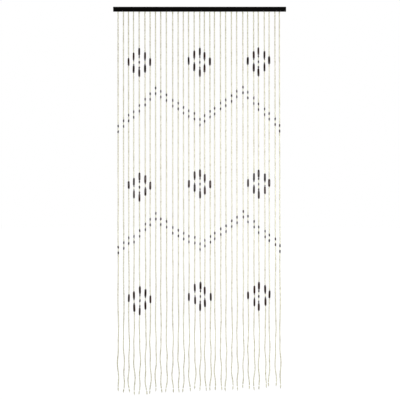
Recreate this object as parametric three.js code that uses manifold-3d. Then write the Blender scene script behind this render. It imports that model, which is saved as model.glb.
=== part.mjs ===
// A bead curtain on its head rail, in millimetres. X runs along the rail, the front faces -Y and +Z is
// up. The origin is the middle of the rail's flat back, where it lies against the wall.
import * as THREE from 'three';
import { mergeVertices } from 'three/addons/utils/BufferGeometryUtils.js';
import Module from 'manifold-3d';

const wasm = await Module();
wasm.setup();

// The rail: a wooden batten with a crowned front, chamfered edges and a stopped groove in its underside
const RAIL = { length: 900, height: 24, depth: 14, crown: 1.4, crownSteps: 8, chamfer: 1.2, endChamfer: 0.8 };
const GROOVE = { width: 5, depth: 7, endStop: 10 };

// The strip in the groove that holds the strings' roots, clear of the groove on every side
const STRIP = { clearance: 0.3, recess: 1.5 };

// The strings, counted from the left, hang in the middle of the rail's depth. Their depth is measured
// down from the rail's underside, and drop is the depth of an even string's last bead at its lower end
const STRINGS = { pitch: 28.16, leftMargin: 24.3, drop: 1970 };
const CORD = { width: 2.2 };
const NATURAL = { length: 14.4, width: 6.3, pitch: 14.7, shoulder: 3 };
const LONG = { length: 41.4, width: 11, pitch: 41.8 };

// The dark beads beside the long ones, as wide as the natural beads: short ones on a diamond's middle
// string, and round spacers on the strings next to it
const SHORT = { pitch: 12.3 };
const SPACER = { pitch: 5 };

// The last bead hangs a little apart from the others, with a knot under it
const FOOT = { gap: 4, knot: 3 };

// The long beads' outline: how far along from the middle to either end, and the share of the full width
const LONG_OUTLINE = [
  { along: -1, share: 0.62 },
  { along: -0.74, share: 0.92 },
  { along: 0, share: 1 },
  { along: 0.74, share: 0.92 },
  { along: 1, share: 0.62 },
];

// The diamonds: three rows of three, each centred on one string and spread over two neighbours on either
// side. The middles of a string's long beads lie its reach above and below the diamond's own middle. On
// the middle string two short and three small beads lie between them, on the next ones two spacers and a
// natural bead
const DIAMONDS = { strings: [5, 16, 27], levels: [262, 899, 1485] };
const REACHES = [
  { away: 0, reach: (LONG.pitch + 3 * NATURAL.pitch + 2 * SHORT.pitch) / 2 },
  { away: 1, reach: (LONG.pitch + 2 * SPACER.pitch + NATURAL.pitch) / 2 },
  { away: 2, reach: 0 },
];

// How every string hangs in its own way. root and foot: its place to the right of the even one, at the
// rail and at its foot. high, middle and low: how far its beads have slipped down along its length
const HANGS = [
  { string: 1, root: 1, foot: 2, high: -1, middle: 5, low: 3 },
  { string: 2, root: 1, foot: 3, high: 1, middle: 6, low: 10 },
  { string: 3, root: -1, foot: 2, high: -1, middle: 5, low: 10 },
  { string: 4, root: -3, foot: 1, high: -5, middle: 22, low: 23 },
  { string: 5, root: -2, foot: 2, high: -5, middle: 17, low: 21 },
  { string: 6, root: 0, foot: 5, high: 2, middle: 8, low: 22 },
  { string: 7, root: -1, foot: 0, high: -2, middle: 9, low: 18 },
  { string: 8, root: -1, foot: 1, high: -3, middle: 4, low: 4 },
  { string: 9, root: -2, foot: -1, high: -18, middle: 11, low: 12 },
  { string: 10, root: -1, foot: 1, high: -15, middle: 4, low: 8 },
  { string: 11, root: 4, foot: 5, high: -14, middle: 15, low: 11 },
  { string: 12, root: 4, foot: 6, high: -17, middle: 8, low: 11 },
  { string: 13, root: 3, foot: 6, high: -6, middle: 4, low: 9 },
  { string: 14, root: 2, foot: 6, high: -6, middle: -1, low: 4 },
  { string: 15, root: 3, foot: 8, high: 1, middle: -14, low: -8 },
  { string: 16, root: 4, foot: 8, high: 5, middle: -1, low: 1 },
  { string: 17, root: 0, foot: 4, high: 3, middle: 1, low: 2 },
  { string: 18, root: 0, foot: 5, high: -3, middle: 1, low: 1 },
  { string: 19, root: -4, foot: 0, high: 1, middle: 5, low: -1 },
  { string: 20, root: -1, foot: 2, high: -10, middle: 2, low: -2 },
  { string: 21, root: -2, foot: 1, high: -7, middle: 7, low: 3 },
  { string: 22, root: 0, foot: 4, high: -5, middle: 2, low: -4 },
  { string: 23, root: -1, foot: 3, high: -11, middle: 3, low: 0 },
  { string: 24, root: 3, foot: 7, high: -2, middle: -6, low: -12 },
  { string: 25, root: 0, foot: 4, high: -4, middle: -6, low: -7 },
  { string: 26, root: 3, foot: 7, high: -1, middle: -4, low: -1 },
  { string: 27, root: -1, foot: 4, high: -1, middle: 0, low: -4 },
  { string: 28, root: 2, foot: 9, high: -6, middle: -2, low: -15 },
  { string: 29, root: -1, foot: 1, high: -11, middle: -7, low: -22 },
  { string: 30, root: 1, foot: 6, high: -2, middle: -10, low: -23 },
  { string: 31, root: -4, foot: 1, high: -2, middle: -1, low: -12 },
];

// Waves that grow from a share of the drop towards the loose feet, by a power: across the curtain and out
// of its plane. A full wave takes length, and each string starts turn further round than the last one
const SWAYS = [
  { across: 3, outward: 2.5, length: 340, turn: 2.4, from: 0, power: 3 },
  { across: 3, outward: 1.5, length: 130, turn: 4.1, from: 0.8, power: 1.2 },
];

// Steps between the sections along a string, closer where it waves: each holds down to its depth
const STEPS = [
  { step: 160, until: 1400 },
  { step: 70, until: 1600 },
  { step: 32, until: Infinity },
];
const CLEAR_OF_BEAD = 12;

// A strand has four sides, turned so that it is as wide from the front, the side and the corners
const SIDES = 4;
const SIDE_TURN = Math.PI / 8;

const railUnderside = -RAIL.height / 2;
const stringY = -RAIL.depth / 2;
const stripTop = railUnderside + GROOVE.depth - STRIP.clearance;
const stripBottom = railUnderside + STRIP.recess;

// A closed mesh as a solid that can be joined or cut, and back
function toSolid(geometry) {
  const bare = geometry.clone();
  bare.deleteAttribute('normal');
  bare.deleteAttribute('uv');
  const merged = mergeVertices(bare, 1e-4);
  return new wasm.Manifold(new wasm.Mesh({
    numProp: 3,
    vertProperties: new Float32Array(merged.attributes.position.array),
    triVerts: new Uint32Array(merged.index.array),
  }));
}

function toGeometry(solid) {
  const { vertProperties, triVerts } = solid.getMesh();
  const geometry = new THREE.BufferGeometry();
  geometry.setAttribute('position', new THREE.BufferAttribute(vertProperties, 3));
  geometry.setIndex(new THREE.BufferAttribute(triVerts, 1));
  geometry.computeVertexNormals();
  return geometry;
}

// A box between two corners
function box(low, high) {
  const size = new THREE.Vector3().subVectors(high, low);
  const middle = new THREE.Vector3().addVectors(low, high).multiplyScalar(0.5);
  return new THREE.BoxGeometry(size.x, size.y, size.z).translate(middle.x, middle.y, middle.z);
}

// The rail's outline, seen from its end: flat back, top and underside, chamfers at the front, and
// between them an arc that stands proud by the crown
function railOutline() {
  const halfHeight = RAIL.height / 2;
  const halfChord = halfHeight - RAIL.chamfer;
  const faceY = -RAIL.depth + RAIL.crown;
  const radius = (halfChord ** 2 + RAIL.crown ** 2) / (2 * RAIL.crown);
  const spread = Math.asin(halfChord / radius);
  const outline = new THREE.Shape();
  outline.moveTo(0, -halfHeight);
  outline.lineTo(0, halfHeight);
  outline.lineTo(faceY + RAIL.chamfer, halfHeight);
  for (let step = 0; step <= RAIL.crownSteps; step += 1) {
    const angle = spread * (1 - (2 * step) / RAIL.crownSteps);
    outline.lineTo(-RAIL.depth + radius * (1 - Math.cos(angle)), radius * Math.sin(angle));
  }
  outline.lineTo(faceY + RAIL.chamfer, -halfHeight);
  outline.closePath();
  return outline;
}

function headRail() {
  const batten = new THREE.ExtrudeGeometry(railOutline(), {
    depth: RAIL.length - 2 * RAIL.endChamfer,
    bevelEnabled: true,
    bevelThickness: RAIL.endChamfer,
    bevelSize: RAIL.endChamfer,
    bevelOffset: -RAIL.endChamfer,
    bevelSegments: 1,
  });
  batten.translate(0, 0, -RAIL.length / 2 + RAIL.endChamfer);
  const alongRail = new THREE.Matrix4().makeBasis(
    new THREE.Vector3(0, 1, 0),
    new THREE.Vector3(0, 0, 1),
    new THREE.Vector3(1, 0, 0),
  );
  batten.applyMatrix4(alongRail);
  const halfGroove = RAIL.length / 2 - GROOVE.endStop;
  const groove = box(
    new THREE.Vector3(-halfGroove, stringY - GROOVE.width / 2, railUnderside - 1),
    new THREE.Vector3(halfGroove, stringY + GROOVE.width / 2, railUnderside + GROOVE.depth),
  );
  return toGeometry(toSolid(batten).subtract(toSolid(groove)));
}

// How far down a string's beads have slipped at a depth: a curve through its three values
function slipAt(hang, depth) {
  const t = depth / STRINGS.drop;
  return hang.high * (1 - t) * (1 - 2 * t) + hang.middle * 4 * t * (1 - t) + hang.low * t * (2 * t - 1);
}

// Where a string's middle line lies at a depth
function stringAt(hang, depth) {
  const t = Math.max(depth, 0) / STRINGS.drop;
  const even = -RAIL.length / 2 + STRINGS.leftMargin + (hang.string - 1) * STRINGS.pitch;
  const x = even + hang.root + (hang.foot - hang.root) * t;
  const place = new THREE.Vector3(x, stringY, railUnderside - depth);
  for (const sway of SWAYS) {
    const growth = Math.max((t - sway.from) / (1 - sway.from), 0) ** sway.power;
    const phase = (2 * Math.PI * depth) / sway.length + sway.turn * hang.string;
    place.x += sway.across * growth * Math.sin(phase);
    place.y += sway.outward * growth * Math.cos(phase);
  }
  return place;
}

// The depths of the middles of a string's long beads
function longBeads(hang) {
  const found = [];
  for (const centre of DIAMONDS.strings) {
    const row = REACHES.find(({ away }) => away === Math.abs(hang.string - centre));
    if (!row) continue;
    for (const level of DIAMONDS.levels) {
      const middle = level + slipAt(hang, level);
      if (row.reach > 0) found.push(middle - row.reach, middle + row.reach);
      else found.push(middle);
    }
  }
  return found;
}

// The sections of one strand from its root to its foot: depth and width
function sectionsOf(hang) {
  const beads = longBeads(hang);
  const lastLow = STRINGS.drop + hang.low;
  const lastHigh = lastLow - NATURAL.length;
  const othersLow = lastHigh - FOOT.gap;
  const sections = [
    { depth: railUnderside - (stripTop + stripBottom) / 2, width: CORD.width },
    { depth: 0, width: CORD.width },
    { depth: NATURAL.shoulder, width: NATURAL.width },
    { depth: othersLow - NATURAL.shoulder, width: NATURAL.width },
    { depth: othersLow, width: CORD.width },
    { depth: lastHigh, width: CORD.width },
    { depth: lastHigh + NATURAL.shoulder, width: NATURAL.width },
    { depth: lastLow - NATURAL.shoulder, width: NATURAL.width },
    { depth: lastLow, width: CORD.width },
    { depth: lastLow + FOOT.knot, width: CORD.width },
  ];
  for (const middle of beads) {
    for (const { along, share } of LONG_OUTLINE) {
      sections.push({ depth: middle + (along * LONG.length) / 2, width: LONG.width * share });
    }
  }
  const clear = LONG.length / 2 + CLEAR_OF_BEAD;
  const stepAt = (depth) => STEPS.find(({ until }) => depth < until).step;
  for (let depth = stepAt(0); depth < othersLow - CLEAR_OF_BEAD; depth += stepAt(depth)) {
    const at = depth;
    if (beads.every((middle) => Math.abs(middle - at) > clear)) {
      sections.push({ depth: at, width: NATURAL.width });
    }
  }
  return sections.sort((a, b) => a.depth - b.depth);
}

// A closed strand: a ring of corners at each section, joined by its sides, and a cap at each end
function strand(hang) {
  const sections = sectionsOf(hang);
  const corners = [];
  const faces = [];
  for (const { depth, width } of sections) {
    const middle = stringAt(hang, depth);
    const radius = width / 2 / Math.cos(SIDE_TURN);
    for (let side = 0; side < SIDES; side += 1) {
      const angle = SIDE_TURN + (2 * Math.PI * side) / SIDES;
      corners.push(middle.x + radius * Math.cos(angle), middle.y + radius * Math.sin(angle), middle.z);
    }
  }
  for (let ring = 0; ring < sections.length - 1; ring += 1) {
    for (let side = 0; side < SIDES; side += 1) {
      const next = (side + 1) % SIDES;
      const [a, b] = [ring * SIDES + side, ring * SIDES + next];
      faces.push(a, a + SIDES, b, b, a + SIDES, b + SIDES);
    }
  }
  const last = (sections.length - 1) * SIDES;
  faces.push(0, 1, 2, 0, 2, 3);
  faces.push(last, last + 2, last + 1, last, last + 3, last + 2);
  const geometry = new THREE.BufferGeometry();
  geometry.setAttribute('position', new THREE.Float32BufferAttribute(corners, 3));
  geometry.setIndex(faces);
  return geometry;
}

// All strands, with their roots in the strip that lies in the rail's groove
function beadStrings() {
  const halfLength = RAIL.length / 2 - GROOVE.endStop - STRIP.clearance;
  const halfWidth = GROOVE.width / 2 - STRIP.clearance;
  let solid = toSolid(box(
    new THREE.Vector3(-halfLength, stringY - halfWidth, stripBottom),
    new THREE.Vector3(halfLength, stringY + halfWidth, stripTop),
  ));
  for (const hang of HANGS) {
    solid = solid.add(toSolid(strand(hang)));
  }
  return toGeometry(solid);
}

const blackWood = new THREE.MeshStandardMaterial({ color: 0x16120f, roughness: 0.42, metalness: 0 });
const paleWood = new THREE.MeshStandardMaterial({ color: 0xddd3b4, roughness: 0.6, metalness: 0 });

const rail = new THREE.Mesh(headRail(), blackWood);
rail.name = 'head_rail';

const strings = new THREE.Mesh(beadStrings(), paleWood);
strings.name = 'bead_strings';

const curtain = new THREE.Group();
curtain.add(rail, strings);

export default curtain;
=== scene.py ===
"""A door curtain of wooden beads on a black head rail, dressed around its solids.

Every length is in metres. X runs along the rail, the front faces -Y and Z is up. Depths are measured
down from the rail's underside.
"""

import math

import bpy
import numpy as np
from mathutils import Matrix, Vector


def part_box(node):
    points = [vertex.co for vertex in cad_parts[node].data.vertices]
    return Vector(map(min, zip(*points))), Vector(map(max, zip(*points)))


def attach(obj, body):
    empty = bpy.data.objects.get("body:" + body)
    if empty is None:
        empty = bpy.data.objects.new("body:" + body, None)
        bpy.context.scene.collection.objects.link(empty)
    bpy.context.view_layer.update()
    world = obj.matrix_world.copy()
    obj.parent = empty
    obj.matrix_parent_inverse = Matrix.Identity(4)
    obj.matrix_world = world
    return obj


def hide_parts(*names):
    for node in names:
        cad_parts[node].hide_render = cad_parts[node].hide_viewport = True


bl_info = {
    "name": "Bead curtain",
    "version": (1, 0, 0),
    "blender": (4, 5, 0),
    "location": "3D View > Sidebar > Curtain",
    "description": "Threads a door curtain of wooden beads on its head rail",
    "category": "Add Mesh",
}

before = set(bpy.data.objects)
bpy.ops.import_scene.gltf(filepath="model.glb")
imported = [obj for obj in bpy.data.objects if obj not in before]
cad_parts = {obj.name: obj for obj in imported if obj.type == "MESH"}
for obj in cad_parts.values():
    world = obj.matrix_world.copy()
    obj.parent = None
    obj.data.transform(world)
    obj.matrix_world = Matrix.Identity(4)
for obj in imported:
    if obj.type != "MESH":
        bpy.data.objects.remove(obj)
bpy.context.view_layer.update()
RAIL_LOW, RAIL_HIGH = (np.array(corner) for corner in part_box("head_rail"))
UNDERSIDE = RAIL_LOW[2]
STRING_Y = (RAIL_LOW[1] + RAIL_HIGH[1]) / 2
MM = 0.001

NATURAL, SMALL, SHORT, SPACER, LONG = range(5)

# How every string hangs in its own way, in millimetres. root and foot: its place to the right of the
# even one, at the rail and at its foot. high, middle and low: how far its beads have slipped down
HANG_COLUMNS = ("root", "foot", "high", "middle", "low")
HANGS = (
    (1, 2, -1, 5, 3),
    (1, 3, 1, 6, 10),
    (-1, 2, -1, 5, 10),
    (-3, 1, -5, 22, 23),
    (-2, 2, -5, 17, 21),
    (0, 5, 2, 8, 22),
    (-1, 0, -2, 9, 18),
    (-1, 1, -3, 4, 4),
    (-2, -1, -18, 11, 12),
    (-1, 1, -15, 4, 8),
    (4, 5, -14, 15, 11),
    (4, 6, -17, 8, 11),
    (3, 6, -6, 4, 9),
    (2, 6, -6, -1, 4),
    (3, 8, 1, -14, -8),
    (4, 8, 5, -1, 1),
    (0, 4, 3, 1, 2),
    (0, 5, -3, 1, 1),
    (-4, 0, 1, 5, -1),
    (-1, 2, -10, 2, -2),
    (-2, 1, -7, 7, 3),
    (0, 4, -5, 2, -4),
    (-1, 3, -11, 3, 0),
    (3, 7, -2, -6, -12),
    (0, 4, -4, -6, -7),
    (3, 7, -1, -4, -1),
    (-1, 4, -1, 0, -4),
    (2, 9, -6, -2, -15),
    (-1, 1, -11, -7, -22),
    (1, 6, -2, -10, -23),
    (-4, 1, -2, -1, -12),
)
HANG = {name: MM * np.array(column) for name, column in zip(HANG_COLUMNS, zip(*HANGS))}
STRING_COUNT = len(HANGS)

# The strings' waves, as in the solids. across and outward: their reach at the foot, in millimetres.
# length: of a full wave, in millimetres. turn: from one string to the next, in radians. from: the share
# of the drop at which they begin. power: 1 would let them grow evenly with depth, and more grows late
SWAYS = (
    {"across": 3.0, "outward": 2.5, "length": 340.0, "turn": 2.4, "from": 0.0, "power": 3.0},
    {"across": 3.0, "outward": 1.5, "length": 130.0, "turn": 4.1, "from": 0.8, "power": 1.2},
)

# Bare cord between the rail's underside and the first bead
FIRST_GAP = 0.001

# The pattern, in strings counted from the left and depths in millimetres
DIAMOND_STRINGS = (5, 16, 27)
DIAMOND_LEVELS = (262, 899, 1485)
ZIGZAG_TURNS = (1, 8, 16, 24, 31)
ZIGZAG_LEVELS = ((608, 412, 576, 412, 608), (1237, 1062, 1226, 1062, 1237))
ZIGZAG_RUN = (SMALL, NATURAL, SMALL)
DIAMOND_RUNS = {
    0: (LONG, SHORT, NATURAL, SMALL, NATURAL, SHORT, LONG),
    1: (LONG, SPACER, NATURAL, SPACER, LONG),
    2: (LONG,),
}

# Half a bead's outline, from the middle to the mouth of its bore: how far along, and the share of the
# full width. The other half mirrors it, and the two mouths join through the bore
RICE_OUTLINE = ((0.0, 1.0), (0.78, 0.94), (0.96, 0.76), (1.0, 0.48))
RICE_SIDES = 8
LONG_OUTLINE = (
    (0.0, 1.0),
    (0.4, 0.985),
    (0.7, 0.93),
    (0.88, 0.8),
    (0.97, 0.62),
    (1.0, 0.42),
    (1.0, 0.26),
    (0.985, 0.2),
)
LONG_SIDES = 20

# How beads differ. CHANCE_LIMIT: the most that chance may reach, in times its usual size. LENGTH_SHARE:
# how uneven their lengths are beside their widths. WOOD_SPAN: how far apart in the wood they are cut
CHANCE_LIMIT = 2.0
LENGTH_SHARE = 0.6
WOOD_SPAN = 5.0

# The share of a bead's length, above and below its middle, at which the cord gives it its direction
GRIP = 0.4

# Points on a quarter arc of the rail's section, on its crowned front, and on a quarter arc of any bar's
# ends or of a plain bar's section
SECTION_ARC = 7
CROWN_POINTS = 15
BAR_ARC = 5

# Edges that bend by more than this many degrees stay sharp, on beads and cords and on bars
CREASE = 60.0
BAR_CREASE = 40.0

# The soft lights that face the curtain. Each one's power is the setting with its name, and a glossy one
# shows as a highlight
LIGHTS = (
    {"name": "key", "place": (1.2, -3.2, -0.62), "size": (3.4, 0.8), "glossy": True},
    {"name": "fill", "place": (0.8, -1.2, -0.95), "size": (2.4, 0.9), "glossy": False},
    {"name": "back", "place": (0.0, 3.0, -0.9), "size": (3.0, 1.5), "glossy": False},
)

# How steeply a direction rises, from 0 for level to 1 for straight up, where the light from overhead
# begins and where it is full
OVERHEAD_BEGINS = 0.55
OVERHEAD_FULL = 0.9


class CurtainRail(bpy.types.PropertyGroup):
    """The head rail's own sizes and colour."""

    crown: bpy.props.FloatProperty(
        name="Crown",
        description="How far the front stands proud at mid-height",
        default=0.0014,
        unit="LENGTH",
    )
    front_edge: bpy.props.FloatProperty(
        name="Front edge",
        description="Radius of the long front edges",
        default=0.0018,
        unit="LENGTH",
    )
    back_edge: bpy.props.FloatProperty(
        name="Back edge",
        description="Radius of the long back edges",
        default=0.0005,
        unit="LENGTH",
    )
    end_edge: bpy.props.FloatProperty(
        name="End edge",
        description="Radius of the edges round both ends",
        default=0.001,
        unit="LENGTH",
    )
    groove_width: bpy.props.FloatProperty(
        name="Groove width",
        description="Width of the groove in the underside",
        default=0.005,
        unit="LENGTH",
    )
    groove_depth: bpy.props.FloatProperty(
        name="Groove depth",
        description="Depth of the groove in the underside",
        default=0.007,
        unit="LENGTH",
    )
    groove_stop: bpy.props.FloatProperty(
        name="Groove stop",
        description="How far from each end the groove stops",
        default=0.01,
        unit="LENGTH",
    )
    clearance: bpy.props.FloatProperty(
        name="Clearance",
        description="Gap between the groove and the strip in it",
        default=0.0003,
        unit="LENGTH",
    )
    recess: bpy.props.FloatProperty(
        name="Recess",
        description="How far the strip lies above the underside",
        default=0.0015,
        unit="LENGTH",
    )
    colour: bpy.props.FloatVectorProperty(
        name="Rail colour",
        description="The black stain",
        default=(0.0007, 0.0007, 0.0006),
        subtype="COLOR",
    )
    grain_colour: bpy.props.FloatVectorProperty(
        name="Rail grain colour",
        description="The stain where the grain takes less of it",
        default=(0.003, 0.0027, 0.0024),
        subtype="COLOR",
    )


class CurtainStrings(bpy.types.PropertyGroup):
    """The strings' spacing, cord and feet."""

    pitch: bpy.props.FloatProperty(
        name="Pitch",
        description="Distance between two strings",
        default=0.02816,
        unit="LENGTH",
    )
    left_margin: bpy.props.FloatProperty(
        name="Left margin",
        description="From the rail's left end to the first string",
        default=0.0243,
        unit="LENGTH",
    )
    drop: bpy.props.FloatProperty(
        name="Drop",
        description="From the rail's underside to the lower end of an even string's last bead",
        default=1.97,
        unit="LENGTH",
    )
    cord_width: bpy.props.FloatProperty(
        name="Cord width",
        description="Width of the cord",
        default=0.0013,
        unit="LENGTH",
    )
    twist: bpy.props.FloatProperty(
        name="Twist",
        description="Length of cord from one ply's ridge to the next",
        default=0.003,
        unit="LENGTH",
    )
    last_gap: bpy.props.FloatProperty(
        name="Last gap",
        description="Bare cord above the last bead",
        default=0.004,
        unit="LENGTH",
    )
    knot: bpy.props.FloatProperty(
        name="Knot",
        description="Height of the knot under the last bead",
        default=0.003,
        unit="LENGTH",
    )
    tail: bpy.props.FloatProperty(
        name="Tail",
        description="Cord left under the knot",
        default=0.004,
        unit="LENGTH",
    )
    colour: bpy.props.FloatVectorProperty(
        name="Cord colour",
        description="The cord's own colour",
        default=(0.55, 0.52, 0.42),
        subtype="COLOR",
    )


class CurtainBeads(bpy.types.PropertyGroup):
    """The sizes, unevenness and colours of the beads."""

    small_length: bpy.props.FloatProperty(
        name="Small length",
        description="Length of a natural or small dark bead",
        default=0.0144,
        unit="LENGTH",
    )
    small_width: bpy.props.FloatProperty(
        name="Small width",
        description="Width of a natural bead",
        default=0.0063,
        unit="LENGTH",
    )
    small_pitch: bpy.props.FloatProperty(
        name="Small pitch",
        description="Length of cord that a small bead takes",
        default=0.0147,
        unit="LENGTH",
    )
    small_dark_width: bpy.props.FloatProperty(
        name="Small dark width",
        description="Width of a small or short dark bead or spacer",
        default=0.0077,
        unit="LENGTH",
    )
    short_length: bpy.props.FloatProperty(
        name="Short length",
        description="Length of the short dark bead beside a long bead",
        default=0.012,
        unit="LENGTH",
    )
    short_pitch: bpy.props.FloatProperty(
        name="Short pitch",
        description="Length of cord that a short bead takes",
        default=0.0123,
        unit="LENGTH",
    )
    spacer_length: bpy.props.FloatProperty(
        name="Spacer length",
        description="Length of the round dark spacer beside a long bead",
        default=0.0048,
        unit="LENGTH",
    )
    spacer_pitch: bpy.props.FloatProperty(
        name="Spacer pitch",
        description="Length of cord that a spacer takes",
        default=0.005,
        unit="LENGTH",
    )
    long_length: bpy.props.FloatProperty(
        name="Long length",
        description="Length of a long dark bead",
        default=0.0414,
        unit="LENGTH",
    )
    long_width: bpy.props.FloatProperty(
        name="Long width",
        description="Width of a long dark bead",
        default=0.011,
        unit="LENGTH",
    )
    long_pitch: bpy.props.FloatProperty(
        name="Long pitch",
        description="Length of cord that a long bead takes",
        default=0.0418,
        unit="LENGTH",
    )
    unevenness: bpy.props.FloatProperty(
        name="Unevenness",
        description="Share by which beads differ in size",
        default=0.05,
        subtype="FACTOR",
    )
    tilt: bpy.props.FloatProperty(
        name="Tilt",
        description="How far a small bead leans on its cord",
        default=math.radians(2.5),
        unit="ROTATION",
    )
    pale: bpy.props.FloatVectorProperty(
        name="Pale bead",
        description="The palest natural beads",
        default=(0.59, 0.575, 0.44),
        subtype="COLOR",
    )
    straw: bpy.props.FloatVectorProperty(
        name="Straw bead",
        description="The deepest natural beads",
        default=(0.44, 0.415, 0.28),
        subtype="COLOR",
    )
    dark: bpy.props.FloatVectorProperty(
        name="Dark bead",
        description="The darkest stain of the dark beads",
        default=(0.007, 0.0028, 0.002),
        subtype="COLOR",
    )
    brown: bpy.props.FloatVectorProperty(
        name="Brown bead",
        description="The lightest stain of the dark beads",
        default=(0.042, 0.0155, 0.0095),
        subtype="COLOR",
    )


class CurtainStudio(bpy.types.PropertyGroup):
    """The floor, the camera and the lights."""

    floor_gap: bpy.props.FloatProperty(
        name="Floor gap",
        description="From the lowest bead to the floor",
        default=0.03,
        unit="LENGTH",
    )
    floor_size: bpy.props.FloatProperty(
        name="Floor size",
        description="Side of the floor",
        default=60.0,
        unit="LENGTH",
    )
    floor_glow: bpy.props.FloatProperty(
        name="Floor glow",
        description="Light that the white floor gives by itself",
        default=0.945,
    )
    view_height: bpy.props.FloatProperty(
        name="View height",
        description="Height of what the picture takes in at the curtain",
        default=2.0832,
        unit="LENGTH",
    )
    top_margin: bpy.props.FloatProperty(
        name="Top margin",
        description="From the picture's top edge to the rail's",
        default=0.0359,
        unit="LENGTH",
    )
    view_side: bpy.props.FloatProperty(
        name="View side",
        description="How far to the right of the rail's middle the camera stands",
        default=0.002,
        unit="LENGTH",
    )
    lens: bpy.props.FloatProperty(
        name="Lens",
        description="The camera's focal length in millimetres",
        default=85.0,
    )
    key_power: bpy.props.FloatProperty(
        name="Key power",
        description="Power of the wide soft light in front, which gives the highlights",
        default=27.0,
        unit="POWER",
    )
    fill_power: bpy.props.FloatProperty(
        name="Fill power",
        description="Power of the fill light at mid-height",
        default=22.5,
        unit="POWER",
    )
    back_power: bpy.props.FloatProperty(
        name="Back power",
        description="Power of the soft light behind the curtain",
        default=70.0,
        unit="POWER",
    )
    ceiling: bpy.props.FloatProperty(
        name="Ceiling",
        description="Strength of the soft light from overhead",
        default=2.15,
    )
    horizon: bpy.props.FloatProperty(
        name="Horizon",
        description="Strength of the light from all round",
        default=0.06,
    )
    background: bpy.props.FloatVectorProperty(
        name="Background",
        description="What the camera sees behind the curtain",
        default=(1.0, 1.0, 1.0),
        subtype="COLOR",
    )


SETTINGS = {
    "curtain_rail": CurtainRail,
    "curtain_strings": CurtainStrings,
    "curtain_beads": CurtainBeads,
    "curtain_studio": CurtainStudio,
}


class Value:
    """A node's output, with the arithmetic that adds Math nodes for it."""

    def __init__(self, shader, socket):
        self.shader = shader
        self.socket = socket

    def _maths(self, operation, first, second):
        return self.shader.node("Math", {"operation": operation}, {0: first, 1: second})[0]

    def __add__(self, other):
        return self._maths("ADD", self, other)

    __radd__ = __add__

    def __sub__(self, other):
        return self._maths("SUBTRACT", self, other)

    def __rsub__(self, other):
        return self._maths("SUBTRACT", other, self)

    def __mul__(self, other):
        return self._maths("MULTIPLY", self, other)

    __rmul__ = __mul__


class Shader:
    """A material, or the world, being built from nodes."""

    def __init__(self, owner):
        owner.use_nodes = True
        self.owner = owner
        self.tree = owner.node_tree
        self.tree.nodes.clear()

    def node(self, kind, settings=None, inputs=None):
        """Adds a node: its settings first, then the values or links of its sockets, by name or number. A
        ramp's stops are pairs of place and colour. Returns the outputs as a list of Value."""
        made = self.tree.nodes.new("ShaderNode" + kind)
        for name, value in (settings or {}).items():
            if name == "stops":
                ramp = made.color_ramp.elements
                while len(ramp) < len(value):
                    ramp.new(0.5)
                for stop, (place, colour) in zip(ramp, value):
                    stop.position = place
                    stop.color = (*colour, 1.0)
            else:
                setattr(made, name, value)
        for name, value in (inputs or {}).items():
            if isinstance(value, Value):
                self.tree.links.new(value.socket, made.inputs[name])
            else:
                made.inputs[name].default_value = value
        return [Value(self, socket) for socket in made.outputs]

    def object_place(self):
        """The place on the surface, along the piece's own axes."""
        return self.node("TexCoord")[3]

    def attribute(self, name):
        """A piece's own attribute: its vector and its value."""
        outputs = self.node("Attribute", {"attribute_name": name})
        return outputs[1], outputs[2]

    def stretched(self, vector, factors):
        """A vector with each axis multiplied by its factor."""
        return self.node("VectorMath", {"operation": "MULTIPLY"}, {0: vector, 1: factors})[0]

    def noise(self, vector, scale, detail, roughness):
        """Noise from 0 to 1 over a vector."""
        inputs = {"Vector": vector, "Scale": scale, "Detail": detail, "Roughness": roughness}
        return self.node("TexNoise", {}, inputs)[0]

    def ramp(self, value, stops):
        """A colour for a value, from its stops."""
        return self.node("ValToRGB", {"stops": stops}, {"Fac": value})[0]

    def mix(self, share, first, second, blend="MIX"):
        """Two colours mixed by a share from 0 to 1. Inputs 6 and 7 and output 2 of the node are those for
        colours."""
        settings = {"data_type": "RGBA", "blend_type": blend}
        return self.node("Mix", settings, {0: share, 6: first, 7: second})[2]

    def bump(self, height, distance):
        """A normal from a height from 0 to 1, whose whole range is the distance."""
        return self.node("Bump", {}, {"Height": height, "Distance": distance})[0]

    def surface(self, **inputs):
        """Ends a material in a Principled node. Underscores in the names stand for spaces."""
        named = {name.replace("_", " "): value for name, value in inputs.items()}
        shade = self.node("BsdfPrincipled", {}, named)[0]
        self.node("OutputMaterial", {}, {"Surface": shade})
        return self.owner


def colour_of(value):
    """A colour property as the four numbers that a socket takes."""
    return (*value, 1.0)


def make_rail_wood(rail):
    """Black stained wood: long streaks of grain, a little lighter and rougher than the stain."""
    shader = Shader(bpy.data.materials.new("black_stained_wood"))
    place = shader.object_place()
    long = shader.stretched(place, (0.05, 1.0, 1.0))
    short = shader.stretched(place, (0.08, 1.0, 1.0))
    streaks = shader.noise(long, scale=900.0, detail=4.0, roughness=0.6)
    pores = shader.noise(short, scale=2600.0, detail=2.0, roughness=0.5)
    blotches = shader.noise(place, scale=14.0, detail=2.0, roughness=0.5)
    share = streaks * 0.7 + blotches * 0.3
    stops = ((0.35, rail.colour), (0.72, rail.grain_colour))
    return shader.surface(
        Base_Color=shader.ramp(share, stops),
        Roughness=0.34 + 0.16 * pores + 0.1 * blotches,
        Specular_IOR_Level=0.04,
        Normal=shader.bump(streaks * 0.6 + pores * 0.4, distance=0.00012),
    )


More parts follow.
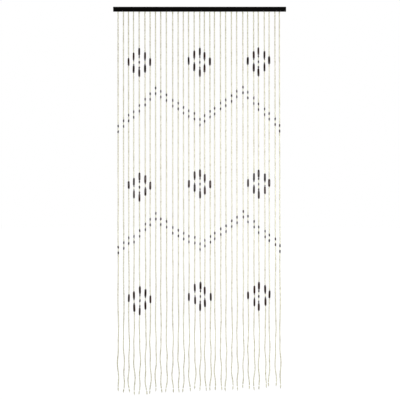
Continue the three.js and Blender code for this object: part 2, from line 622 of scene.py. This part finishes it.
def make_natural_wood(beads):
    """Pale turned wood under a thin lacquer. Each bead has its own tone, and fine grain runs along it."""
    shader = Shader(bpy.data.materials.new("natural_bead_wood"))
    grain_place = shader.attribute("grain")[0]
    tone = shader.attribute("tone")[1]
    fine = shader.stretched(grain_place, (1.0, 1.0, 0.12))
    broad = shader.stretched(grain_place, (1.0, 1.0, 0.3))
    fibres = shader.noise(fine, scale=1100.0, detail=3.0, roughness=0.6)
    bands = shader.noise(broad, scale=260.0, detail=2.0, roughness=0.5)
    stops = ((0.0, beads.straw), (0.55, beads.pale), (1.0, beads.pale))
    base = shader.ramp(tone * 0.8 + bands * 0.2, stops)
    shade = 0.72 + 0.5 * fibres
    tinted = shader.mix(1.0, base, shade, "MULTIPLY")
    return shader.surface(
        Base_Color=tinted,
        Roughness=0.38 + 0.2 * bands,
        Coat_Weight=0.25,
        Coat_Roughness=0.2,
        Normal=shader.bump(fibres, distance=0.0001),
    )


def make_dark_wood(beads):
    """Dark stained turned wood, glossy, with reddish brown grain where the stain is thin."""
    shader = Shader(bpy.data.materials.new("dark_bead_wood"))
    grain_place = shader.attribute("grain")[0]
    tone = shader.attribute("tone")[1]
    fine = shader.stretched(grain_place, (1.0, 1.0, 0.1))
    broad = shader.stretched(grain_place, (1.0, 1.0, 0.4))
    streaks = shader.noise(fine, scale=700.0, detail=4.0, roughness=0.62)
    clouds = shader.noise(broad, scale=150.0, detail=2.0, roughness=0.5)
    stops = ((0.3, beads.dark), (0.8, beads.brown))
    return shader.surface(
        Base_Color=shader.ramp(streaks * 0.45 + clouds * 0.25 + tone * 0.3, stops),
        Roughness=0.08 + 0.1 * streaks,
        Specular_IOR_Level=0.65,
        Coat_Weight=0.45,
        Coat_Roughness=0.06,
        Normal=shader.bump(streaks, distance=0.00012),
    )


def make_cord_fibre(strings):
    """Off-white cord of two plies: a ridge that winds round it, with fine fibres along the ridge, and
    painted shade darkening the groove between the plies.
    """
    shader = Shader(bpy.data.materials.new("twisted_cord"))
    grain_place = shader.attribute("grain")[0]
    wind = shader.attribute("tone")[1]
    plies = shader.node("Math", {"operation": "SINE"}, {0: wind})[0] * 0.5 + 0.5
    fibres = shader.noise(grain_place, scale=3000.0, detail=2.0, roughness=0.5)
    # Painted shade: the cord's colour darkened to 0.6 where the plies mask is low, in the grooves between
    # the ridges
    painted_groove_shade = colour_of([0.6 * part for part in strings.colour])
    return shader.surface(
        Base_Color=shader.mix(plies * 0.6 + fibres * 0.4, painted_groove_shade, colour_of(strings.colour)),
        Roughness=0.8 + 0.1 * fibres,
        Normal=shader.bump(plies * 0.8 + fibres * 0.2, distance=0.0002),
    )


def make_floor_paint(studio):
    """Matt, barely uneven paint that takes little of the lamps' light and glows white by itself, so that
    it is as white far away as under the curtain."""
    shader = Shader(bpy.data.materials.new("white_floor"))
    place = shader.object_place()
    clouds = shader.noise(place, scale=1.5, detail=2.0, roughness=0.5)
    deep, light = (0.07, 0.07, 0.07, 1.0), (0.08, 0.08, 0.08, 1.0)
    return shader.surface(
        Base_Color=shader.mix(clouds, deep, light),
        Roughness=0.9,
        Specular_IOR_Level=0.0,
        Emission_Color=(1.0, 1.0, 1.0, 1.0),
        Emission_Strength=studio.floor_glow,
    )


def slip_at(string, depth):
    """How far down a string's beads have slipped at a depth: a curve through its three values, which hold
    at the rail, half way and at the foot."""
    drop = bpy.context.scene.curtain_strings.drop
    t = depth / drop
    high, middle, low = (HANG[name][string - 1] for name in ("high", "middle", "low"))
    return high * (1 - t) * (1 - 2 * t) + middle * 4 * t * (1 - t) + low * t * (2 * t - 1)


def string_at(string, depth):
    """Where a string's middle line lies at a depth, as an array of points: a straight line from its root
    to its foot, and two waves that grow with depth, across the curtain and outward."""
    strings = bpy.context.scene.curtain_strings
    t = np.maximum(depth, 0.0) / strings.drop
    root, foot = HANG["root"][string - 1], HANG["foot"][string - 1]
    x = RAIL_LOW[0] + strings.left_margin + (string - 1) * strings.pitch + root + (foot - root) * t
    y = np.full_like(x, STRING_Y)
    for sway in SWAYS:
        growth = (np.maximum(t - sway["from"], 0.0) / (1 - sway["from"])) ** sway["power"]
        phase = 2 * np.pi * depth / (sway["length"] * MM) + sway["turn"] * string
        x = x + sway["across"] * MM * growth * np.sin(phase)
        y = y + sway["outward"] * MM * growth * np.cos(phase)
    return np.stack([x, y, UNDERSIDE - depth], axis=-1)


def runs_of(string):
    """The runs of a string that hold dark beads, from the top: the middle's depth and the kinds."""
    runs = []
    for levels in ZIGZAG_LEVELS:
        level = MM * np.interp(string, ZIGZAG_TURNS, levels)
        runs.append((level + slip_at(string, level), ZIGZAG_RUN))
    for centre in DIAMOND_STRINGS:
        kinds = DIAMOND_RUNS.get(abs(string - centre))
        if kinds:
            for level in DIAMOND_LEVELS:
                runs.append((MM * level + slip_at(string, MM * level), kinds))
    return sorted(runs)


def last_bead(string):
    """The depths of the upper and lower ends of a string's last bead."""
    settings = bpy.context.scene
    low = settings.curtain_strings.drop + HANG["low"][string - 1]
    return low - settings.curtain_beads.small_length, low


def fill(string, begin, end):
    """Natural beads threaded evenly from one depth to another, as many as fit best."""
    beads = bpy.context.scene.curtain_beads
    count = max(round((end - begin) / beads.small_pitch), 1)
    pitch = (end - begin) / count
    length = beads.small_length * pitch / beads.small_pitch
    return [(string, NATURAL, begin + (place + 0.5) * pitch, length) for place in range(count)]


def thread_all():
    """Every bead of the curtain, as columns of string, kind, depth of the middle and length. Between the
    runs with dark beads each string is filled with natural ones, and the last bead hangs on its own."""
    beads = bpy.context.scene.curtain_beads
    sizes = {
        NATURAL: (beads.small_pitch, beads.small_length),
        SMALL: (beads.small_pitch, beads.small_length),
        SHORT: (beads.short_pitch, beads.short_length),
        SPACER: (beads.spacer_pitch, beads.spacer_length),
        LONG: (beads.long_pitch, beads.long_length),
    }
    rows = []
    for string in range(1, STRING_COUNT + 1):
        reached = FIRST_GAP
        for middle, kinds in runs_of(string):
            begin = middle - sum(sizes[kind][0] for kind in kinds) / 2
            rows += fill(string, reached, begin)
            for kind in kinds:
                pitch, length = sizes[kind]
                rows.append((string, kind, begin + pitch / 2, length))
                begin += pitch
            reached = begin
        high, low = last_bead(string)
        rows += fill(string, reached, high - bpy.context.scene.curtain_strings.last_gap)
        rows.append((string, NATURAL, (high + low) / 2, low - high))
    string, kind, depth, length = np.array(rows).T
    return string.astype(int), kind.astype(int), depth, length


def unit(vectors):
    """Vectors of length 1."""
    return vectors / np.linalg.norm(vectors, axis=-1, keepdims=True)


def frames_along(axis):
    """Two directions across each axis, which make a right-handed frame with it."""
    side = unit(np.cross(np.broadcast_to((0.0, 1.0, 0.0), axis.shape), axis))
    return side, np.cross(axis, side)


def ring_faces(rings, sides, closed):
    """The corners of the faces between rings of points, and from the last to the first where closed."""
    ring = np.arange(rings if closed else rings - 1)[:, None]
    side = np.arange(sides)[None, :]
    after, beside = (ring + 1) % rings, (side + 1) % sides
    corners = (ring * sides + side, ring * sides + beside, after * sides + beside, after * sides + side)
    return np.stack(corners, axis=-1).reshape(-1, 4)


def repeated(faces, count, points_each):
    """The faces of one copy, repeated for each of many copies with the same number of points."""
    starts = np.arange(count) * points_each
    return (faces[None] + starts[:, None, None]).reshape(-1, faces.shape[-1])


def turned_beads(outline, sides, middles, axes, lengths, widths, turns):
    """Beads from half an outline. A point at place s of the whole outline and angle a lies at middle +
    axis s length / 2, and out from there by share width / 2 towards angle a across the axis. Returns
    the points, the faces and each point's place in its own bead."""
    along, share = np.array(outline).T
    along = np.concatenate([-along[:0:-1], along])
    share = np.concatenate([share[:0:-1], share])
    angle = turns[:, None] + np.linspace(0, 2 * np.pi, sides, endpoint=False)
    side, other = frames_along(axes)
    around = np.cos(angle)[..., None] * side[:, None] + np.sin(angle)[..., None] * other[:, None]
    reach = along * lengths[:, None] / 2
    radius = share * widths[:, None] / 2
    points = (
        middles[:, None, None]
        + axes[:, None, None] * reach[..., None, None]
        + around[:, None] * radius[..., None, None]
    )
    own = np.empty(points.shape)
    own[..., 0] = radius[..., None] * np.cos(angle)[:, None]
    own[..., 1] = radius[..., None] * np.sin(angle)[:, None]
    own[..., 2] = reach[..., None]
    faces = ring_faces(len(along), sides, True)
    return points, repeated(faces, len(middles), len(along) * sides), own


def tube(paths, radii, sides, closed):
    """Tubes round paths: at each point of a path lies a ring of the radius there, square to the path.
    Returns the points, shaped path, place, side, and the faces without the ends."""
    if closed:
        ahead = np.roll(paths, -1, axis=1) - np.roll(paths, 1, axis=1)
        bend = np.roll(paths, -1, axis=1) + np.roll(paths, 1, axis=1) - 2 * paths
        axis = unit(ahead)
        side = unit(bend - axis * np.sum(bend * axis, axis=-1, keepdims=True))
        other = np.cross(axis, side)
    else:
        axis = unit(np.gradient(paths, axis=1))
        side, other = frames_along(axis)
    angle = np.linspace(0, 2 * np.pi, sides, endpoint=False)[:, None]
    across = np.cos(angle) * side[:, :, None] + np.sin(angle) * other[:, :, None]
    points = paths[:, :, None] + across * radii[..., None, None]
    return points, ring_faces(paths.shape[1], sides, closed)


def make_mesh(name, points, faces, values=None, vectors=None, sharp=CREASE):
    """A mesh from an array of points and arrays of faces, each with one number of corners, with a value
    and a vector on each point. Edges sharper than the angle stay sharp."""
    mesh = bpy.data.meshes.new(name)
    points = np.ascontiguousarray(points.reshape(-1, 3), dtype=np.float32)
    corners = np.concatenate([group.ravel() for group in faces])
    sizes = np.concatenate([np.full(len(group), group.shape[1]) for group in faces])
    mesh.vertices.add(len(points))
    mesh.vertices.foreach_set("co", points.ravel())
    mesh.loops.add(len(corners))
    mesh.loops.foreach_set("vertex_index", corners.astype(np.int32))
    mesh.polygons.add(len(sizes))
    mesh.polygons.foreach_set("loop_start", (np.cumsum(sizes) - sizes).astype(np.int32))
    mesh.polygons.foreach_set("use_smooth", np.ones(len(sizes), dtype=bool))
    if values is not None:
        tone = mesh.attributes.new("tone", "FLOAT", "POINT")
        tone.data.foreach_set("value", np.ascontiguousarray(values, dtype=np.float32).ravel())
    if vectors is not None:
        grain = mesh.attributes.new("grain", "FLOAT_VECTOR", "POINT")
        grain.data.foreach_set("vector", np.ascontiguousarray(vectors, dtype=np.float32).ravel())
    mesh.update(calc_edges=True)
    mesh.set_sharp_from_angle(angle=math.radians(sharp))
    return mesh


def add_piece(mesh, material, node):
    """Puts a mesh into the scene as a piece of the curtain that stands for a solid."""
    mesh.materials.append(material)
    piece = bpy.data.objects.new(mesh.name, mesh)
    bpy.context.scene.collection.objects.link(piece)
    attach(piece, "root")
    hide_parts(node)
    return piece


def add_beads(name, outline, sides, chosen, width, leaning, seed, material):
    """One piece of many beads: chosen holds the columns of the beads from thread_all. Each bead is set on
    its string, leans a little and differs a little in size, turn and tone."""
    random = np.random.default_rng(seed)
    beads = bpy.context.scene.curtain_beads
    string, _, depth, length = chosen
    count = len(string)
    reach = GRIP * length
    below = string_at(string, depth + reach)
    axes = unit(below - string_at(string, depth - reach))
    axes[:, :2] += leaning * random.standard_normal((count, 2)).clip(-CHANCE_LIMIT, CHANCE_LIMIT)
    wider = random.standard_normal(count).clip(-CHANCE_LIMIT, CHANCE_LIMIT)
    widths = width * (1 + beads.unevenness * wider)
    lengths = length * (1 - beads.unevenness * LENGTH_SHARE * random.random(count))
    turns = random.uniform(0, 2 * np.pi, count)
    middles = string_at(string, depth)
    points, faces, own = turned_beads(outline, sides, middles, unit(axes), lengths, widths, turns)
    tone = np.broadcast_to(random.random(count)[:, None, None], points.shape[:3])
    own += random.uniform(0, WOOD_SPAN, (count, 1, 1, 3))
    return add_piece(make_mesh(name, points, [faces], tone, own), material, "bead_strings")


def rail_outline(rail):
    """The rail's section as points of Y and Z, turning from +Y towards +Z: arcs round the four corners
    and a shallow arc across the front that stands proud by the crown."""
    top, bottom = RAIL_HIGH[2], RAIL_LOW[2]
    back = RAIL_HIGH[1]
    front = RAIL_LOW[1] + rail.crown
    quarter = np.linspace(0, np.pi / 2, SECTION_ARC)

    def corner(y, z, radius, start):
        angle = start + quarter
        return np.stack([y + radius * np.cos(angle), z + radius * np.sin(angle)], axis=-1)

    small, large = rail.back_edge, rail.front_edge
    height = np.linspace(top - large, bottom + large, CROWN_POINTS)[1:-1]
    share = 1 - (2 * (height - (top + bottom) / 2) / (top - bottom - 2 * large)) ** 2
    crown = np.stack([front - rail.crown * share, height], axis=-1)
    return np.concatenate([
        corner(back - small, top - small, small, 0.0),
        corner(front + large, top - large, large, np.pi / 2),
        crown,
        corner(front + large, bottom + large, large, np.pi),
        corner(back - small, bottom + small, small, 1.5 * np.pi),
    ])


def lofted_bar(outline, low, high, edge):
    """A bar along X with a section of Y and Z. Near each end the section draws in about its middle along
    a quarter circle of the edge's radius, and a flat face closes it."""
    angle = np.linspace(0, np.pi / 2, BAR_ARC)
    into = edge * (1 - np.cos(angle))
    inset = edge * (1 - np.sin(angle))
    x = np.concatenate([low + into, (high - into)[::-1]])
    draw = np.concatenate([inset, inset[::-1]])
    middle = (outline.min(axis=0) + outline.max(axis=0)) / 2
    half = (outline.max(axis=0) - outline.min(axis=0)) / 2
    shrink = 1 - draw[:, None, None] / half
    section = middle + (outline - middle) * shrink
    places = np.broadcast_to(x[:, None, None], (*section.shape[:2], 1))
    points = np.concatenate([places, section], axis=-1)
    count = len(outline)
    ends = np.stack([np.arange(count)[::-1], np.arange(count) + (len(x) - 1) * count])
    return points, [ring_faces(len(x), count, False), ends]


def box_outline(low, high, radius):
    """A rectangle of Y and Z with rounded corners, turning from +Y towards +Z."""
    quarter = np.linspace(0, np.pi / 2, BAR_ARC)
    near, far = np.array(low) + radius, np.array(high) - radius
    centres = ((far[0], far[1]), (near[0], far[1]), (near[0], near[1]), (far[0], near[1]))
    points = []
    for turn, (y, z) in enumerate(centres):
        angle = turn * np.pi / 2 + quarter
        points.append(np.stack([y + radius * np.cos(angle), z + radius * np.sin(angle)], axis=-1))
    return np.concatenate(points)


class CURTAIN_OT_studio(bpy.types.Operator):
    """Lay the white floor and set the camera, the lights and the pale surroundings"""

    bl_idname = "curtain.studio"
    bl_label = "Floor, camera and lights"

    def execute(self, context):
        studio = context.scene.curtain_studio
        strings = context.scene.curtain_strings
        lowest = UNDERSIDE - strings.drop - HANG["low"].max() - strings.knot - strings.tail
        half = studio.floor_size / 2
        level = lowest - studio.floor_gap
        square = ((-half, -half), (half, -half), (half, half), (-half, half))
        corners = np.array([(x, y, level) for x, y in square])
        mesh = make_mesh("floor", corners, [np.array([[0, 1, 2, 3]])])
        mesh.materials.append(make_floor_paint(studio))
        floor = bpy.data.objects.new("floor", mesh)
        # The glossy beads mirror the key light and the room, but not the floor
        floor.visible_glossy = False
        context.scene.collection.objects.link(floor)
        self.add_camera(context, studio)
        self.add_lights(context, studio)
        return {"FINISHED"}

    def add_camera(self, context, studio):
        """Faces the curtain squarely from as far as the lens needs to take in the view's height."""
        data = bpy.data.cameras.new("camera")
        data.lens = studio.lens
        away = studio.view_height * data.lens / data.sensor_width
        camera = bpy.data.objects.new("camera", data)
        height = RAIL_HIGH[2] + studio.top_margin - studio.view_height / 2
        camera.location = (studio.view_side, STRING_Y - away, height)
        camera.rotation_euler = (math.pi / 2, 0.0, 0.0)
        context.scene.collection.objects.link(camera)
        context.scene.camera = camera

    def add_softbox(self, context, studio, name, place, size, glossy):
        """A flat soft light that faces the curtain, unseen by the camera."""
        data = bpy.data.lights.new(name, "AREA")
        data.shape = "RECTANGLE"
        data.size, data.size_y = size
        data.energy = getattr(studio, f"{name}_power")
        light = bpy.data.objects.new(name, data)
        light.location = place
        light.rotation_euler = (math.pi / 2, 0.0, math.pi if place[1] > 0 else 0.0)
        light.visible_camera = False
        light.visible_glossy = glossy
        context.scene.collection.objects.link(light)

    def add_lights(self, context, studio):
        """Soft lights, one for the highlights, a fill at mid-height and one behind the curtain, and
        surroundings that are bright overhead and dim at eye level."""
        for light in LIGHTS:
            self.add_softbox(context, studio, **light)
        world = bpy.data.worlds.new("pale_room")
        context.scene.world = world
        shader = Shader(world)
        shown = shader.node("LightPath")[0]
        direction = shader.node("TexCoord")[0]
        height = shader.node("SeparateXYZ", {}, {0: direction})[2]
        smooth = {"interpolation_type": "SMOOTHSTEP"}
        span = {"Value": height, "From Min": OVERHEAD_BEGINS, "From Max": OVERHEAD_FULL}
        overhead = shader.node("MapRange", smooth, span)[0]
        strength = studio.horizon + (studio.ceiling - studio.horizon) * overhead
        daylight = (0.97, 0.98, 1.0, 1.0)
        lit = shader.node("Background", {}, {"Color": daylight, "Strength": strength})[0]
        seen = shader.node("Background", {}, {"Color": colour_of(studio.background)})[0]
        both = shader.node("MixShader", {}, {0: shown, 1: lit, 2: seen})[0]
        shader.node("OutputWorld", {}, {"Surface": both})
        context.scene.view_settings.view_transform = "Standard"


class CURTAIN_OT_rail(bpy.types.Operator):
    """Make the black head rail with its crowned front and the groove in its underside"""

    bl_idname = "curtain.rail"
    bl_label = "Head rail"

    CUTTER_EDGE = 0.0002

    def execute(self, context):
        rail = context.scene.curtain_rail
        points, faces = lofted_bar(rail_outline(rail), RAIL_LOW[0], RAIL_HIGH[0], rail.end_edge)
        mesh = make_mesh("rail", points, faces, sharp=BAR_CREASE)
        piece = add_piece(mesh, make_rail_wood(rail), "head_rail")
        self.cut_groove(context, piece, rail)
        return {"FINISHED"}

    def cut_groove(self, context, piece, rail):
        """Cuts the groove out of the rail's mesh, with a bar twice as high as the groove is deep."""
        half = rail.groove_width / 2
        low = (STRING_Y - half, UNDERSIDE - rail.groove_depth)
        high = (STRING_Y + half, UNDERSIDE + rail.groove_depth)
        outline = box_outline(low, high, self.CUTTER_EDGE)
        begin, end = RAIL_LOW[0] + rail.groove_stop, RAIL_HIGH[0] - rail.groove_stop
        points, faces = lofted_bar(outline, begin, end, self.CUTTER_EDGE)
        cutter = bpy.data.objects.new("groove_cutter", make_mesh("groove_cutter", points, faces))
        context.scene.collection.objects.link(cutter)
        cut = piece.modifiers.new("groove", "BOOLEAN")
        cut.operation = "DIFFERENCE"
        cut.solver = "EXACT"
        cut.object = cutter
        context.view_layer.update()
        evaluated = piece.evaluated_get(context.evaluated_depsgraph_get())
        finished = bpy.data.meshes.new_from_object(evaluated)
        piece.modifiers.remove(cut)
        if not len(finished.polygons):
            raise RuntimeError("the groove's cut left nothing of the rail")
        piece.data = finished
        finished.set_sharp_from_angle(angle=math.radians(BAR_CREASE))
        bpy.data.objects.remove(cutter)


class CURTAIN_OT_root_strip(bpy.types.Operator):
    """Make the narrow strip in the rail's groove that holds the cords' roots"""

    bl_idname = "curtain.root_strip"
    bl_label = "Root strip"

    EDGE = 0.0004

    def execute(self, context):
        rail = context.scene.curtain_rail
        half = rail.groove_width / 2 - rail.clearance
        low = (STRING_Y - half, UNDERSIDE + rail.recess)
        high = (STRING_Y + half, UNDERSIDE + rail.groove_depth - rail.clearance)
        stop = rail.groove_stop + rail.clearance
        outline = box_outline(low, high, self.EDGE)
        points, faces = lofted_bar(outline, RAIL_LOW[0] + stop, RAIL_HIGH[0] - stop, self.EDGE)
        mesh = make_mesh("root_strip", points, faces, sharp=BAR_CREASE)
        material = bpy.data.materials.get("black_stained_wood") or make_rail_wood(rail)
        add_piece(mesh, material, "bead_strings")
        return {"FINISHED"}


class CURTAIN_OT_cords(bpy.types.Operator):
    """Hang the cords from the root strip and tie a knot at each foot"""

    bl_idname = "curtain.cords"
    bl_label = "Cords and knots"

    SIDES = 6
    STEPS = 150
    KNOT_STEPS = 30
    TAIL_STEPS = 5

    # Shares of a knot's height: its reach sideways, and how far under the last bead the knot's middle and
    # the tail's upper end lie
    KNOT_RADIUS = 0.42
    KNOT_MIDDLE = 0.6
    TAIL_START = 0.8

    # How far a knot's cord rises and falls, beside a third of its reach
    KNOT_RISE = 1.6

    # The turn from one string's knot to the next one's, in radians
    KNOT_TURN = 2.4

    def execute(self, context):
        rail = context.scene.curtain_rail
        strings = context.scene.curtain_strings
        material = make_cord_fibre(strings)
        number = np.arange(1, STRING_COUNT + 1)[:, None]
        foot = np.array([last_bead(string)[1] for string in number[:, 0]])[:, None]
        root = -(rail.recess + rail.groove_depth) / 2
        depth = root + (foot + strings.knot / 2 - root) * np.linspace(0, 1, self.STEPS)
        self.add_tubes("cords", string_at(number, depth), material)
        self.add_knots(number, foot, strings, material)
        return {"FINISHED"}

    def add_tubes(self, name, paths, material):
        """Tubes of cord along paths, closed with flat ends. The value on each point says where it lies on
        the plies: twice the angle round the cord, for two plies, and a full turn for each twist's length."""
        strings = bpy.context.scene.curtain_strings
        radii = np.full(paths.shape[:2], strings.cord_width / 2)
        points, faces = tube(paths, radii, self.SIDES, False)
        each = paths.shape[1] * self.SIDES
        ends = np.stack([np.arange(self.SIDES)[::-1], np.arange(self.SIDES) + each - self.SIDES])
        angle = np.linspace(0, 2 * np.pi, self.SIDES, endpoint=False)
        run = 2 * np.pi * (paths[:, :, 2].max() - paths[:, :, 2]) / strings.twist
        twist = 2 * angle + run[..., None]
        groups = [repeated(group, len(paths), each) for group in (faces, ends)]
        add_piece(make_mesh(name, points, groups, twist, points), material, "bead_strings")

    def add_knots(self, number, foot, strings, material):
        """Trefoil knots under the last beads, and the tails below them. With t round the knot, x runs as
        sin t + 2 sin 2t, y as cos t - 2 cos 2t and z as -sin 3t. Each knot is turned on from the last."""
        t = np.linspace(0, 2 * np.pi, self.KNOT_STEPS, endpoint=False)[None]
        third = strings.knot * self.KNOT_RADIUS / 3
        x = third * (np.sin(t) + 2 * np.sin(2 * t))
        y = third * (np.cos(t) - 2 * np.cos(2 * t))
        z = -third * self.KNOT_RISE * np.sin(3 * t)
        turn = self.KNOT_TURN * number
        turned = np.broadcast_arrays(
            x * np.cos(turn) - y * np.sin(turn),
            x * np.sin(turn) + y * np.cos(turn),
            z,
        )
        middle = string_at(number, foot + strings.knot * self.KNOT_MIDDLE)
        paths = middle + np.stack(turned, axis=-1)
        radii = np.full(paths.shape[:2], strings.cord_width / 2)
        points, faces = tube(paths, radii, self.SIDES, True)
        angle = np.linspace(0, 2 * np.pi, self.SIDES, endpoint=False)
        twist = np.broadcast_to(2 * angle + 4 * t[..., None], points.shape[:3])
        groups = [repeated(faces, len(paths), points.shape[1] * self.SIDES)]
        add_piece(make_mesh("knots", points, groups, twist, points), material, "bead_strings")
        fall = np.linspace(0, 1, self.TAIL_STEPS) * strings.tail
        tails = fall + foot + strings.knot * self.TAIL_START
        self.add_tubes("tails", string_at(number, tails), material)


class CURTAIN_OT_natural_beads(bpy.types.Operator):
    """Thread the natural beads, in blocks of neighbouring strings"""

    bl_idname = "curtain.natural_beads"
    bl_label = "Natural beads"

    BLOCK = 8
    SEED = 100

    def execute(self, context):
        beads = context.scene.curtain_beads
        material = make_natural_wood(beads)
        columns = thread_all()
        string, kind = columns[:2]
        for block, first in enumerate(range(1, STRING_COUNT + 1, self.BLOCK)):
            picked = (kind == NATURAL) & (string >= first) & (string < first + self.BLOCK)
            add_beads(
                f"natural_beads_{block + 1}",
                RICE_OUTLINE,
                RICE_SIDES,
                [column[picked] for column in columns],
                beads.small_width,
                beads.tilt,
                self.SEED + block,
                material,
            )
        return {"FINISHED"}


class CURTAIN_OT_dark_beads(bpy.types.Operator):
    """Thread the small and the long dark beads of the zigzags and diamonds"""

    bl_idname = "curtain.dark_beads"
    bl_label = "Dark beads"

    SEED = 200

    # How far a long bead leans, beside a small one
    LONG_LEAN = 0.25

    def execute(self, context):
        beads = context.scene.curtain_beads
        material = make_dark_wood(beads)
        columns = thread_all()
        small = RICE_OUTLINE, RICE_SIDES, beads.small_dark_width, beads.tilt
        long = LONG_OUTLINE, LONG_SIDES, beads.long_width, beads.tilt * self.LONG_LEAN
        for name, wanted, (outline, sides, width, leaning) in (
            ("small_dark_beads", (SMALL, SHORT, SPACER), small),
            ("long_dark_beads", (LONG,), long),
        ):
            picked = np.isin(columns[1], wanted)
            add_beads(
                name,
                outline,
                sides,
                [column[picked] for column in columns],
                width,
                leaning,
                self.SEED + wanted[0],
                material,
            )
        return {"FINISHED"}


class CURTAIN_PT_panel(bpy.types.Panel):
    """The curtain's steps and sizes"""

    bl_idname = "CURTAIN_PT_panel"
    bl_label = "Bead curtain"
    bl_space_type = "VIEW_3D"
    bl_region_type = "UI"
    bl_category = "Curtain"

    def draw(self, context):
        for step in STEPS:
            self.layout.operator(step.bl_idname)
        for name, group in SETTINGS.items():
            box = self.layout.box()
            for setting in group.__annotations__:
                box.prop(getattr(context.scene, name), setting)


STEPS = (
    CURTAIN_OT_studio,
    CURTAIN_OT_rail,
    CURTAIN_OT_root_strip,
    CURTAIN_OT_cords,
    CURTAIN_OT_natural_beads,
    CURTAIN_OT_dark_beads,
)
CLASSES = (*SETTINGS.values(), *STEPS, CURTAIN_PT_panel)


def register():
    for made in CLASSES:
        bpy.utils.register_class(made)
    for name, group in SETTINGS.items():
        setattr(bpy.types.Scene, name, bpy.props.PointerProperty(type=group))


def unregister():
    for name in SETTINGS:
        delattr(bpy.types.Scene, name)
    for made in reversed(CLASSES):
        bpy.utils.unregister_class(made)


def main():
    """Runs every step in order."""
    register()
    bpy.ops.curtain.studio()
    bpy.ops.curtain.rail()
    bpy.ops.curtain.root_strip()
    bpy.ops.curtain.cords()
    bpy.ops.curtain.natural_beads()
    bpy.ops.curtain.dark_beads()


if __name__ == "__main__":
    main()
